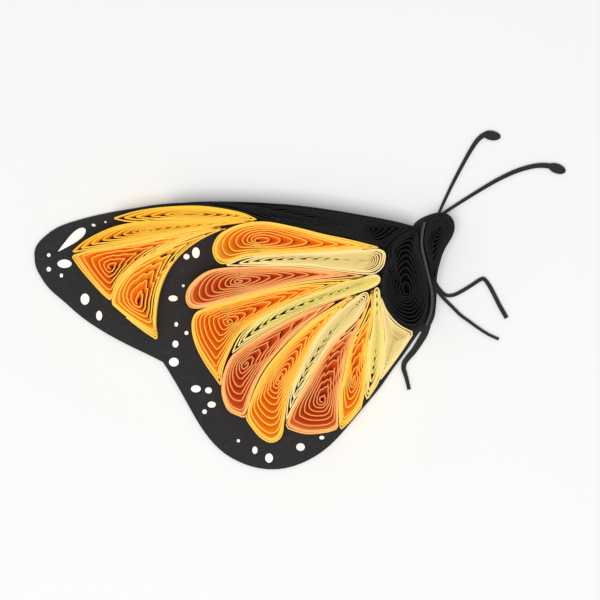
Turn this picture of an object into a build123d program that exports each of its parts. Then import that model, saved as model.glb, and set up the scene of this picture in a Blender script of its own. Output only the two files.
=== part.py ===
"""Quilled paper butterfly: rolled strips of paper glued on edge to a die-cut card.

Millimetres, +X to the butterfly's head, +Z out of the card towards the viewer.
The back of the card lies on z = 0 and the origin is on it, under the thorax.
Each coil is one strip of paper, rolled, pinched to its cell and glued down.
"""
from bisect import bisect_right
from dataclasses import dataclass
import os

from build123d import *

# Overall size in plan, and the size at which the outlines below are drawn
LENGTH = 67.5
WIDTH = 43.1
DRAWN_LENGTH = 67.5
DRAWN_WIDTH = 43.1
# Card and strips
CARD_THICKNESS = 0.3
STRIP_HEIGHT = 3.0
STRIP_THICKNESS = 0.12
DIVIDER_THICKNESS = 0.3
# Most of the room between two turns that the strip fills where they are pressed together
PRESSED_SHARE = 0.5
# Half of the hairline left between two neighbouring coils
SEAM_GAP = 0.05
# Size of the open eye of a coil as a share of its outline
EYE_SHARE = 0.14
# Part of each turn over which the strip steps in by one layer
STEP_SHARE = 0.3
# Part of a gap that a point moved inwards has to keep from the outline
KEPT_SHARE = 0.95
# Corners in one turn of a coil, and points per span of an outline, a fold line and a band
CORNERS = 15
SPAN_STEPS = 6
FOLD_STEPS = 12
BAND_STEPS = 4


@dataclass
class Cell:
    """One coil: its number of turns, its eye, its fold line and its outline.

    The outline is a ring of rounded runs; the last point of a run is the first
    point of the next, and the strip is creased there.
    """

    turns: int
    eye: tuple
    spine: list
    runs: list


def placed(point):
    """Drawn point at its place in the butterfly, as complex x + iy."""
    return complex(point[0] * LENGTH / DRAWN_LENGTH, point[1] * WIDTH / DRAWN_WIDTH)


def smooth(run, steps=SPAN_STEPS):
    """Rounded curve through an open run of drawn points."""
    p = [placed(q) for q in run]
    p = [2 * p[0] - p[1]] + p + [2 * p[-1] - p[-2]]
    curve = []
    for a, b, c, d in zip(p, p[1:], p[2:], p[3:]):
        k1, k2, k3 = (abs(v) ** 0.5 for v in (b - a, c - b, d - c))
        m1 = (c - b) + k2 * ((b - a) / k1 - (c - a) / (k1 + k2))
        m2 = (c - b) + k2 * ((d - c) / k3 - (d - b) / (k2 + k3))
        for i in range(steps):
            t = i / steps
            curve.append((2 * t**3 - 3 * t**2 + 1) * b + (t**3 - 2 * t**2 + t) * m1
                         + (3 * t**2 - 2 * t**3) * c + (t**3 - t**2) * m2)
    return curve + [p[-2]]


def ring(runs):
    """Closed loop of points, counter-clockwise, from the runs of an outline."""
    loop = []
    for run, following in zip(runs, runs[1:] + runs[:1]):
        loop += smooth(run + following[:1])[:-1]
    area = sum((a.conjugate() * b).imag for a, b in zip(loop, loop[1:] + loop[:1]))
    return loop if area > 0 else loop[::-1]


def off_chord(q, a, b):
    """Distance of a point from a straight segment."""
    share = ((q - a) / (b - a)).real if a != b else 0
    return abs(q - a - min(max(share, 0), 1) * (b - a))


def inset(loop, gap):
    """Loop moved inwards by a gap, without the points that cross at a tip."""
    sides = list(zip(loop, loop[1:] + loop[:1]))
    moved = []
    for before, p, after in zip(loop[-1:] + loop, loop, loop[1:] + loop[:1]):
        q = p + 1j * gap * (after - before) / abs(after - before)
        if min(off_chord(q, a, b) for a, b in sides) > KEPT_SHARE * gap:
            moved.append(q)
    return moved


def pick(loop, count):
    """The corners that draw a dense loop best, from its sharpest tip on."""
    size = len(loop)
    far = max(range(size), key=lambda i: abs(loop[i] - loop[0]))
    tip = max(range(size), key=lambda i: abs(loop[i] - loop[far]))
    kept = [0, (far - tip) % size, size]
    loop = loop[tip:] + loop[:tip + 1]
    while len(kept) <= count:
        worst = max((off_chord(loop[i], loop[a], loop[b]), i)
                    for a, b in zip(kept, kept[1:]) for i in range(a, b))[1]
        kept = sorted(kept + [worst])
    return [loop[i] for i in kept[:-1]]


class Spine:
    """Fold line of a coil: maps a place along and beside it to the plane."""

    def __init__(self, points):
        self.line = smooth(points, FOLD_STEPS)
        self.run = [0.0]
        for a, b in zip(self.line, self.line[1:]):
            self.run.append(self.run[-1] + abs(b - a))
        line = self.line
        ends = [line[1] - line[0]] + [c - a for a, c in zip(line, line[2:])] + [line[-1] - line[-2]]
        self.heading = [v / abs(v) for v in ends]

    def place(self, along, beside):
        """Point at a length along the line and a distance to its left."""
        i = min(max(bisect_right(self.run, along) - 1, 0), len(self.run) - 2)
        share = (along - self.run[i]) / (self.run[i + 1] - self.run[i])
        inner = min(max(share, 0), 1)
        heading = self.heading[i] + inner * (self.heading[i + 1] - self.heading[i])
        point = self.line[i] + inner * (self.line[i + 1] - self.line[i])
        step = (share - inner) * (self.run[i + 1] - self.run[i])
        return point + heading / abs(heading) * complex(step, beside)

    def locate(self, q):
        """Length along the line and distance to its left of a point."""
        i = min(range(len(self.line)), key=lambda k: abs(q - self.line[k]))
        along = self.run[i]
        for _ in range(4):
            foot = self.place(along, 0)
            heading = self.place(along, 1) - foot
            along += ((q - foot) / heading * 1j).real
        return along, ((q - self.place(along, 0)) / heading).real


def wound(turns):
    """Layers laid after a number of turns: each turn steps in at its end."""
    whole = int(turns)
    return whole + max(turns - whole - 1 + STEP_SHARE, 0) / STEP_SHARE


def strip_outline(cell):
    """Plan of the rolled strip: out along its outer side, back along its inner.

    Every turn is the outline shrunk about the eye along the fold line, so the
    turns lie tight beside it and their folds open towards the tips.
    """
    corners = pick(inset(ring(cell.runs), SEAM_GAP), CORNERS)
    spine = Spine(cell.spine)
    eye = spine.locate(placed(cell.eye))
    places = [spine.locate(q) for q in corners]
    pitch = (1 - EYE_SHARE) / cell.turns

    def at(index, scale):
        along, beside = (e + scale * (p - e) for e, p in zip(eye, places[index % CORNERS]))
        return spine.place(along, beside)

    wall = []
    for i, q in enumerate(corners):
        inward = at(i, 1 - pitch) - q
        sides = (corners[(i + 1) % CORNERS] - q, q - corners[i - 1])
        room = max(abs((inward.conjugate() * side).imag) / abs(side) for side in sides)
        pressed = STRIP_THICKNESS > PRESSED_SHARE * room
        wall.append(pitch * (PRESSED_SHARE if pressed else STRIP_THICKNESS / room))
    scales = [1 - pitch * wound(i / CORNERS) for i in range(CORNERS * cell.turns + 1)]
    outer = [at(i, scale) for i, scale in enumerate(scales)]
    inner = [at(i, scale - wall[i % CORNERS]) for i, scale in enumerate(scales)]
    return outer + inner[::-1]


def band(line, start, end):
    """Plan of a narrow band along a curve, from one width to the other."""
    centre = smooth(line, BAND_STEPS)
    left, right = [], []
    for i, q in enumerate(centre):
        heading = centre[min(i + 1, len(centre) - 1)] - centre[max(i - 1, 0)]
        half = (start + (end - start) * i / (len(centre) - 1)) / 2
        left.append(q + 1j * half * heading / abs(heading))
        right.append(q - 1j * half * heading / abs(heading))
    return left + right[::-1]


def flat(points):
    """Complex points as pairs."""
    return [(q.real, q.imag) for q in points]


# Coils, each named for its node
CELLS = {
    "forewing_coil_1": Cell(
        turns=3, eye=(-28.0, 7.9),
        spine=[(-37.1, 7.4), (-32.3, 7.7), (-28.0, 7.9), (-23.4, 7.7), (-18.5, 7.2)],
        runs=[[(-37.1, 7.4), (-34.1, 8.3), (-30.9, 8.8), (-26.2, 9.0), (-22.7, 8.6), (-20.2, 8.0)],
              [(-18.5, 7.2), (-22.7, 7.1), (-28.0, 7.1), (-32.3, 7.1), (-34.8, 6.9)]]),
    "forewing_coil_2": Cell(
        turns=4, eye=(-32.3, 5.9),
        spine=[(-42.3, 3.0), (-38.4, 4.5), (-33.0, 5.8), (-27.0, 6.5), (-18.6, 7.1)],
        runs=[[(-42.3, 3.0), (-40.7, 4.4), (-38.8, 5.5), (-36.6, 6.4), (-34.1, 6.9),
               (-30.9, 7.1), (-26.2, 7.1), (-22.0, 7.1)],
              [(-18.6, 7.1), (-22.7, 6.6), (-26.2, 6.0), (-29.8, 5.4), (-33.4, 4.6),
               (-37.0, 3.9), (-39.8, 3.4)]]),
    "forewing_coil_3": Cell(
        turns=6, eye=(-37.3, 1.2),
        spine=[(-40.2, -0.4), (-37.3, 1.2), (-35.2, 2.4), (-32.7, 3.6), (-29.8, 4.6),
               (-27.0, 5.5), (-23.0, 6.4)],
        runs=[[(-23.0, 6.4), (-26.2, 6.0), (-29.8, 5.4), (-33.4, 4.6), (-37.0, 3.9), (-39.8, 3.4)],
              [(-42.2, 2.7), (-41.1, 1.1), (-39.8, -0.5), (-38.5, -2.0)],
              [(-37.3, -3.2), (-36.4, -1.2), (-35.0, 0.6), (-33.0, 2.2), (-30.5, 3.6),
               (-27.7, 4.8), (-25.2, 5.7)]]),
    "forewing_coil_4": Cell(
        turns=6, eye=(-33.8, -3.4),
        spine=[(-34.5, -6.1), (-33.8, -3.4), (-32.9, -1.1), (-31.8, 0.8), (-30.2, 2.5),
               (-28.0, 3.9), (-25.5, 5.3), (-22.3, 6.3)],
        runs=[[(-22.3, 6.3), (-24.8, 5.3), (-27.0, 4.0), (-28.8, 2.4), (-30.1, 0.5),
               (-31.0, -1.8), (-31.4, -4.1), (-31.5, -6.2)],
              [(-31.3, -8.0), (-32.7, -7.1), (-34.3, -5.9), (-35.9, -4.6)],
              [(-37.2, -3.4), (-36.4, -1.2), (-35.0, 0.6), (-33.0, 2.2), (-30.5, 3.6),
               (-27.7, 4.8), (-25.2, 5.7)]]),
    "hindwing_coil_1": Cell(
        turns=5, eye=(-18.9, 4.6),
        spine=[(-24.3, 2.5), (-22.7, 3.4), (-20.9, 4.2), (-18.0, 4.8), (-14.5, 4.8),
               (-10.2, 4.4), (-5.9, 4.0), (-2.9, 3.7)],
        runs=[[(-2.9, 3.7), (-7.3, 4.8), (-10.2, 5.4), (-13.8, 6.3), (-17.7, 7.0), (-20.2, 6.8),
               (-22.3, 6.1), (-23.8, 5.0), (-24.4, 3.2), (-23.4, 1.5), (-20.2, 2.5),
               (-15.5, 2.9), (-10.2, 3.2), (-5.9, 3.5)]]),
    "hindwing_coil_2": Cell(
        turns=5, eye=(-5.5, 2.1),
        spine=[(-2.3, 2.3), (-5.5, 2.1), (-12.0, 2.2), (-17.3, 2.0), (-23.0, 1.4)],
        runs=[[(-23.0, 1.4), (-20.2, 2.5), (-15.5, 2.9), (-10.2, 3.2), (-5.9, 3.5), (-2.9, 3.6),
               (-2.4, 3.0), (-2.5, 1.9), (-2.9, 1.1), (-3.9, 0.4), (-8.4, 0.7), (-13.8, 1.3),
               (-19.1, 1.4)]]),
    "hindwing_coil_3": Cell(
        turns=6, eye=(-21.1, -0.6),
        spine=[(-27.7, -2.9), (-25.2, -2.0), (-23.0, -1.1), (-20.2, -0.4), (-15.5, 0.1),
               (-10.2, 0.2), (-4.5, 0.1)],
        runs=[[(-4.5, 0.1), (-8.4, 0.7), (-13.8, 1.3), (-19.1, 1.4), (-23.4, 1.1), (-25.0, 0.7),
               (-26.6, -0.4), (-27.5, -1.6), (-27.7, -2.9), (-27.2, -3.8), (-26.1, -4.0),
               (-22.7, -3.1), (-19.1, -2.1), (-15.5, -1.2), (-11.2, -0.5), (-7.7, -0.2)]]),
    "hindwing_coil_4": Cell(
        turns=6, eye=(-22.2, -5.7),
        spine=[(-23.2, -14.1), (-23.7, -10.4), (-22.8, -6.7), (-21.0, -4.6), (-18.0, -3.4),
               (-14.5, -2.1), (-10.5, -1.1), (-5.5, -0.1)],
        runs=[[(-5.5, -0.1), (-7.7, -0.3), (-11.2, -0.5), (-15.5, -1.2), (-19.1, -2.1),
               (-22.7, -3.1), (-25.2, -3.9), (-26.4, -4.5), (-26.9, -5.5), (-26.9, -7.0),
               (-26.4, -8.8), (-25.2, -11.1), (-23.9, -13.0)],
              [(-23.2, -14.1), (-22.9, -11.8), (-22.1, -9.5), (-20.9, -7.3), (-18.8, -5.6),
               (-14.6, -3.3), (-11.2, -2.0), (-7.7, -0.7)]]),
    "hindwing_coil_5": Cell(
        turns=4, eye=(-5.5, -0.8),
        spine=[(-3.1, -0.2), (-5.2, -0.7), (-9.5, -2.3), (-13.8, -3.9), (-17.3, -5.8),
               (-20.2, -7.9), (-22.0, -9.8)],
        runs=[[(-22.0, -9.8), (-20.9, -7.5), (-18.8, -5.6), (-14.6, -3.3), (-11.2, -2.0),
               (-7.7, -0.7), (-5.9, -0.2), (-3.8, 0.4), (-3.1, 0.1), (-3.1, -0.6), (-3.8, -1.2),
               (-5.9, -2.0), (-8.4, -2.7), (-12.0, -4.0), (-15.5, -5.7), (-18.8, -7.6),
               (-20.5, -8.7)]]),
    "hindwing_coil_6": Cell(
        turns=6, eye=(-20.2, -11.2),
        spine=[(-21.4, -17.6), (-21.2, -14.3), (-20.2, -11.2), (-18.0, -8.9), (-15.2, -7.0),
               (-11.6, -4.7), (-6.1, -2.1)],
        runs=[[(-6.1, -2.1), (-8.4, -2.7), (-12.0, -4.0), (-15.5, -5.7), (-18.8, -7.6),
               (-20.5, -8.7), (-22.0, -10.1), (-22.9, -12.1), (-23.2, -14.1), (-23.0, -15.5),
               (-22.3, -16.9), (-21.2, -17.5), (-20.2, -17.7), (-19.5, -15.4), (-18.6, -13.1),
               (-17.4, -11.1), (-16.0, -9.4), (-13.8, -7.2), (-11.2, -5.2), (-8.8, -3.7),
               (-7.3, -2.8)]]),
    "hindwing_coil_7": Cell(
        turns=6, eye=(-15.9, -13.0),
        spine=[(-17.3, -20.9), (-17.0, -17.5), (-16.2, -14.3), (-15.0, -10.9), (-12.9, -7.9),
               (-10.5, -5.5), (-5.9, -2.2)],
        runs=[[(-5.9, -2.2), (-7.3, -2.8), (-8.8, -3.7), (-11.2, -5.2), (-13.8, -7.3),
               (-15.9, -9.5), (-17.3, -11.2), (-18.5, -13.2), (-19.4, -15.4), (-20.1, -17.7),
               (-19.4, -19.0), (-18.2, -20.4), (-16.9, -21.0), (-15.6, -20.4), (-15.2, -18.2),
               (-14.8, -15.5), (-14.1, -13.4), (-13.1, -11.4), (-12.0, -8.9), (-10.4, -6.5),
               (-8.9, -4.8), (-7.7, -3.6), (-6.6, -2.7)]]),
    "hindwing_coil_8": Cell(
        turns=4, eye=(-7.3, -4.8),
        spine=[(-4.8, -2.1), (-7.3, -4.8), (-9.8, -7.5), (-11.4, -10.0), (-13.0, -12.9),
               (-14.1, -15.5), (-15.1, -18.6)],
        runs=[[(-15.1, -18.6), (-14.8, -15.5), (-14.1, -13.4), (-13.1, -11.4), (-12.0, -8.9),
               (-10.4, -6.5), (-8.9, -4.8), (-7.7, -3.6), (-6.6, -2.7), (-5.7, -2.1),
               (-4.9, -1.8), (-4.5, -2.4), (-5.1, -3.9), (-6.0, -5.2), (-7.3, -6.5),
               (-8.9, -8.0), (-10.2, -9.6), (-11.3, -11.4), (-12.3, -13.3), (-13.4, -15.2),
               (-14.3, -16.8)]]),
    "hindwing_coil_9": Cell(
        turns=7, eye=(-10.5, -15.7),
        spine=[(-11.4, -19.9), (-10.5, -15.7), (-10.0, -13.2), (-9.1, -10.9), (-7.8, -8.2),
               (-6.3, -5.8), (-4.7, -3.2)],
        runs=[[(-4.7, -3.2), (-5.1, -3.9), (-6.0, -5.2), (-7.3, -6.5), (-8.9, -8.0),
               (-10.2, -9.6), (-11.3, -11.4), (-12.3, -13.3), (-13.4, -15.2), (-14.3, -16.8)],
              [(-15.2, -19.1), (-12.7, -19.9), (-10.2, -19.8)],
              [(-8.4, -19.4), (-8.4, -16.8), (-8.2, -14.3), (-7.7, -11.8), (-7.3, -9.8),
               (-6.6, -8.0), (-5.9, -6.4), (-5.1, -4.5)]]),
    "hindwing_coil_10": Cell(
        turns=4, eye=(-6.6, -13.6),
        spine=[(-7.1, -18.5), (-6.7, -15.7), (-6.6, -13.6), (-6.2, -10.7), (-5.5, -7.9),
               (-4.8, -4.6), (-4.1, -1.5)],
        runs=[[(-4.1, -1.5), (-4.5, -2.7), (-5.1, -4.5), (-5.9, -6.4), (-6.6, -8.0),
               (-7.3, -9.8), (-7.7, -11.8), (-8.2, -14.3), (-8.4, -16.8)],
              [(-8.2, -19.4), (-7.0, -18.3)],
              [(-5.5, -16.5), (-5.1, -14.6), (-4.9, -12.5), (-4.8, -10.4), (-4.6, -8.2),
               (-4.2, -6.1), (-4.1, -3.9)]]),
    "hindwing_coil_11": Cell(
        turns=3, eye=(-3.6, -8.2),
        spine=[(-3.5, -1.3), (-3.5, -3.6), (-3.5, -6.1), (-3.6, -8.6), (-3.9, -11.1),
               (-4.2, -13.2), (-4.8, -15.6)],
        runs=[[(-4.8, -15.6), (-5.1, -14.6), (-4.9, -12.5), (-4.8, -10.4), (-4.6, -8.2),
               (-4.2, -6.1), (-4.1, -3.9), (-4.0, -2.4), (-3.9, -1.6), (-3.5, -1.3),
               (-3.2, -1.7), (-3.1, -2.7), (-2.9, -4.1), (-2.7, -6.1), (-2.6, -8.6),
               (-2.9, -11.1), (-3.3, -13.2)]]),
    "hindwing_coil_12": Cell(
        turns=4, eye=(-1.6, -8.4),
        spine=[(-2.7, -13.0), (-0.5, -5.7)],
        runs=[[(-3.2, -13.2), (-2.9, -11.1), (-2.6, -8.6), (-2.7, -6.1), (-2.9, -4.1)],
              [(-3.1, -2.2), (-2.2, -4.3), (-0.7, -6.0)],
              [(1.2, -7.0), (-0.6, -9.7), (-1.9, -11.5)]]),
    "leading_edge_coil": Cell(
        turns=4, eye=(-5.9, 6.2),
        spine=[(-29.5, 9.3), (-26.2, 9.3), (-22.7, 9.2), (-19.8, 8.8), (-16.6, 8.2),
               (-12.0, 7.4), (-8.0, 6.6), (-4.5, 5.9), (-0.5, 5.1)],
        runs=[[(-30.2, 9.2), (-26.2, 9.5), (-20.9, 9.5), (-15.5, 9.2), (-10.2, 8.6), (-4.8, 7.7),
               (-1.2, 6.9)],
              [(1.2, 6.2), (-0.7, 5.4)],
              [(-2.6, 3.9), (-4.8, 4.3), (-7.3, 4.9), (-10.2, 5.5), (-13.8, 6.4), (-16.2, 7.0),
               (-18.0, 7.3), (-20.2, 8.1), (-22.7, 8.7), (-26.2, 9.1)]]),
    "thorax_coil": Cell(
        turns=6, eye=(0.2, -2.1),
        spine=[(0.9, -6.6), (0.2, -2.1), (-0.2, 1.4), (0.0, 3.9), (1.2, 6.1)],
        runs=[[(1.2, 6.1), (-0.7, 5.2)],
              [(-2.1, 3.7), (-2.1, 2.5), (-2.5, 1.4), (-2.8, 0.2), (-3.0, -1.2), (-2.8, -2.6),
               (-2.0, -4.4), (-0.7, -6.0), (0.8, -6.6), (2.0, -6.2), (2.8, -4.6), (3.0, -2.5),
               (2.8, -0.4), (2.3, 1.8), (1.8, 3.8), (1.6, 5.4)]]),
    "head_coil": Cell(
        turns=5, eye=(4.5, 6.3),
        spine=[(4.7, 7.9), (4.5, 6.3), (3.8, 3.4), (3.9, -0.3)],
        runs=[[(3.9, -0.3), (3.4, 0.2), (3.0, 1.8), (2.5, 3.8), (2.5, 5.6), (3.0, 6.8),
               (3.8, 7.6), (4.9, 7.9), (5.8, 7.4), (6.1, 6.4), (6.0, 5.5), (5.2, 4.1),
               (4.6, 3.1), (4.2, 1.8), (4.0, 0.7)]]),
}

# Outline of the card: front edge, outer edge and hind edge of the wings, then the body
FRONT_EDGE = [(-47.0, 2.5), (-46.8, 3.9), (-45.8, 5.1), (-44.1, 6.3), (-42.3, 7.0), (-39.8, 7.7),
    (-37.0, 8.3), (-34.1, 8.8), (-31.6, 9.2), (-26.2, 9.5), (-20.9, 9.5), (-15.5, 9.3),
    (-10.2, 8.7), (-4.8, 7.8), (-1.2, 7.1), (1.1, 6.5)]
OUTER_EDGE = [(-47.0, 2.5), (-46.8, 1.2), (-46.2, 0.0), (-45.2, -1.4), (-43.4, -3.0), (-41.6, -4.6),
    (-38.8, -6.6), (-35.2, -8.6), (-32.7, -9.8), (-30.7, -10.8)]
HIND_EDGE = [(-30.7, -10.8), (-29.5, -12.7), (-27.3, -16.6), (-25.2, -20.0), (-23.0, -22.3),
    (-20.5, -23.7), (-17.7, -24.4), (-15.2, -24.3), (-12.7, -23.5), (-10.2, -22.0),
    (-8.0, -19.9), (-5.9, -17.4), (-4.2, -15.4), (-2.7, -13.5), (-1.4, -11.6), (-0.1, -9.9),
    (1.0, -8.3), (2.0, -6.9)]
BODY_EDGE = [(1.1, 6.5), (1.7, 7.2), (2.6, 7.7), (3.7, 8.1), (4.9, 8.2), (5.9, 7.7), (6.4, 6.5),
    (6.2, 5.4), (5.4, 4.0), (4.9, 3.0), (4.5, 1.7), (4.2, 0.4), (4.1, -1.1), (4.1, -2.5),
    (4.0, -3.9), (3.8, -5.1), (3.3, -6.2), (2.6, -7.0), (2.0, -6.9)]
# Antennae and legs of the card: centre line, width at the root, width at the end
LIMBS = [
    ([(4.2, 7.7), (5.0, 9.5), (6.4, 12.4), (7.9, 15.2), (8.6, 16.4), (9.3, 17.4), (10.0, 18.0),
      (10.7, 18.2), (11.4, 18.0)],
     0.32, 0.75),
    ([(4.5, 7.8), (5.7, 8.6), (7.9, 10.0), (10.0, 11.3), (12.1, 12.5), (14.3, 13.5),
      (16.4, 14.1), (17.5, 14.2), (18.6, 14.1), (19.6, 13.8)],
     0.36, 0.72),
    ([(3.8, -0.5), (4.5, -1.6), (5.3, -2.3), (6.2, -2.3), (7.1, -1.9), (8.6, -1.0), (9.5, -0.4),
      (10.0, -0.2), (10.3, -0.4), (10.8, -1.1), (11.4, -2.2), (12.1, -3.6), (13.0, -5.2)],
     0.42, 0.54),
    ([(4.1, -1.6), (4.9, -2.6), (5.7, -3.4), (6.4, -4.1), (7.1, -4.8), (8.2, -5.6), (9.3, -6.4),
      (10.7, -7.3), (12.0, -7.9)],
     0.45, 0.35),
    ([(2.9, -6.1), (2.5, -7.3), (2.1, -8.0), (1.6, -8.8), (1.1, -9.5), (0.5, -10.2),
      (0.0, -10.9), (-0.1, -11.6), (0.1, -12.3), (0.3, -13.0), (0.6, -14.3)],
     0.95, 0.45),
]
# Clubs at the ends of the antennae: centre, half length, half width, turn
CLUBS = [((11.1, 18.0), 1.15, 0.6, -10), ((19.4, 13.8), 1.15, 0.62, -20)]
# Black strip that stands on edge between the head and the thorax
DIVIDER = [(2.5, 6.9), (2.2, 5.7), (2.1, 4.1), (2.5, 2.1), (3.0, 0.0), (3.4, -2.1), (3.3, -4.3),
    (2.7, -6.1)]


os.makedirs("parts", exist_ok=True)

# Die-cut card that carries everything
with BuildPart() as wing_backing:
    with BuildSketch():
        with BuildLine():
            for edge in (FRONT_EDGE, BODY_EDGE, HIND_EDGE, OUTER_EDGE):
                Spline(*flat(placed(q) for q in edge))
        make_face()
        for line, start, end in LIMBS:
            with BuildLine():
                Polyline(*flat(band(line, start, end)), close=True)
            make_face()
        for centre, long, short, turn in CLUBS:
            with Locations(Location((*flat([placed(centre)])[0], 0), (0, 0, turn))):
                Ellipse(long, short)
    extrude(amount=CARD_THICKNESS)
wing_backing.part.label = "wing_backing"
export_step(wing_backing.part, "parts/wing_backing.step")

# Rolled strips, on edge on the card
for name, cell in CELLS.items():
    with BuildPart() as coil:
        with BuildSketch(Plane.XY.offset(CARD_THICKNESS)):
            with BuildLine():
                Polyline(*flat(strip_outline(cell)), close=True)
            make_face()
        extrude(amount=STRIP_HEIGHT)
    coil.part.label = name
    export_step(coil.part, f"parts/{name}.step")

with BuildPart() as body_divider:
    with BuildSketch(Plane.XY.offset(CARD_THICKNESS)):
        with BuildLine():
            Polyline(*flat(band(DIVIDER, DIVIDER_THICKNESS, DIVIDER_THICKNESS)), close=True)
        make_face()
    extrude(amount=STRIP_HEIGHT)
body_divider.part.label = "body_divider"
export_step(body_divider.part, "parts/body_divider.step")
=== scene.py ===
"""Quilled paper butterfly: coloured paper strips, rolled and pinched, on edge on a dark card.

Metres, +X to the butterfly's head, +Z out of the card. The card's back lies on z = 0.
Outlines are written in millimetres, as on a quiller's pattern, and scaled to the frame.
"""

from __future__ import annotations

import logging
import math
import random
from bisect import bisect_right
from dataclasses import dataclass, field, replace
from enum import Enum
from typing import Any

import bpy
from mathutils import Euler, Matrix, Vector

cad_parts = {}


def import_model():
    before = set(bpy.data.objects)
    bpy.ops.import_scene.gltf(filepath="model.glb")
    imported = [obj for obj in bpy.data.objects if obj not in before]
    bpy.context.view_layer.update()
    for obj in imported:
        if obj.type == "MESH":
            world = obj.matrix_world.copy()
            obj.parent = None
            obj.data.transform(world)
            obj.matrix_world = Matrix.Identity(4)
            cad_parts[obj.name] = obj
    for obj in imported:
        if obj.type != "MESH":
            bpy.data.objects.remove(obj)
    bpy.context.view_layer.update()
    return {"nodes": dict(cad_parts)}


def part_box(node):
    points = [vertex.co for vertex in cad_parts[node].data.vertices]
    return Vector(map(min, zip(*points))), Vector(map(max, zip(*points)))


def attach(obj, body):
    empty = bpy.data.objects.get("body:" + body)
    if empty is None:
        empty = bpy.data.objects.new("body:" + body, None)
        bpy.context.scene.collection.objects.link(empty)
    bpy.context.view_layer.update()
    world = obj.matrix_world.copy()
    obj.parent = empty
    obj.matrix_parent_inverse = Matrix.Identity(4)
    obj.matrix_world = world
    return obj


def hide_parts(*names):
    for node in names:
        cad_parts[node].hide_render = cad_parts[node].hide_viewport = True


LOG = logging.getLogger("quilling")
# A millimetre in metres, and the least length in millimetres that anything is divided by
MM = 0.001
TINY = 1e-6
# The body that every piece rides on
BODY = "root"

Colour = tuple[float, float, float]
Pair = tuple[float, float]
Run = list[Pair]


# Curves of the pattern, as complex numbers in millimetres


def clamp(share: float) -> float:
    """Keep a share between 0 and 1."""
    return min(max(share, 0.0), 1.0)


def eased(share: float) -> float:
    """Let a share of 0 to 1 start and end gently."""
    return share * share * (3.0 - 2.0 * share)


def around(items: list[Any]) -> list[tuple[Any, Any]]:
    """Pair each item of a closed round with the next one."""
    return list(zip(items, items[1:] + items[:1]))


def blurred(values: list[Any], reach: int) -> list[Any]:
    """Average each value of a closed round with its neighbours.

    Args:
        values: The values, the last followed by the first.
        reach: How many neighbours count on each side.

    Returns:
        The averages, in the same order.
    """
    count = len(values)
    return [sum(values[(i + k) % count] for k in range(-reach, reach + 1)) / (2 * reach + 1)
            for i in range(count)]


def smooth(run: Run, steps: int = 7) -> list[complex]:
    """Draw a rounded curve, a centripetal Catmull-Rom spline, through an open run of points.

    Args:
        run: The points, in millimetres.
        steps: How many pieces each span is divided into.

    Returns:
        The points of the curve, both ends included.
    """
    p = [complex(*q) for q in run]
    p = [2 * p[0] - p[1]] + p + [2 * p[-1] - p[-2]]
    curve = []
    for a, b, c, d in zip(p, p[1:], p[2:], p[3:]):
        k1, k2, k3 = (abs(v) ** 0.5 for v in (b - a, c - b, d - c))
        m1 = (c - b) + k2 * ((b - a) / k1 - (c - a) / (k1 + k2))
        m2 = (c - b) + k2 * ((d - c) / k3 - (d - b) / (k2 + k3))
        for i in range(steps):
            t = i / steps
            curve.append((2 * t**3 - 3 * t**2 + 1) * b + (t**3 - 2 * t**2 + t) * m1
                         + (3 * t**2 - 2 * t**3) * c + (t**3 - t**2) * m2)
    return curve + [p[-2]]


def ring(runs: list[Run]) -> list[complex]:
    """Join the runs of an outline into one counter-clockwise loop.

    Args:
        runs: Open runs; each ends where the next begins.

    Returns:
        The points of the loop, the first not repeated.
    """
    loop: list[complex] = []
    for run, following in around(runs):
        loop += smooth(run + following[:1])[:-1]
    area = sum((a.conjugate() * b).imag for a, b in around(loop))
    return loop if area > 0 else loop[::-1]


def off_chord(q: complex, a: complex, b: complex) -> float:
    """Measure how far the point q lies from the straight segment from a to b."""
    share = ((q - a) / (b - a)).real if a != b else 0.0
    return abs(q - a - clamp(share) * (b - a))


def inset(loop: list[complex], gap: float, kept: float = 0.95) -> list[complex]:
    """Move a loop inwards and drop the points that cross over at its tips.

    Args:
        loop: The outline, counter-clockwise.
        gap: How far it moves, in millimetres.
        kept: Share of the gap that a point has to keep from every side.

    Returns:
        The loop that is left.
    """
    sides = around(loop)
    moved = []
    for before, p, after in zip(loop[-1:] + loop, loop, loop[1:] + loop[:1]):
        q = p + 1j * gap * (after - before) / abs(after - before)
        if min(off_chord(q, a, b) for a, b in sides) > kept * gap:
            moved.append(q)
    return moved


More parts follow.
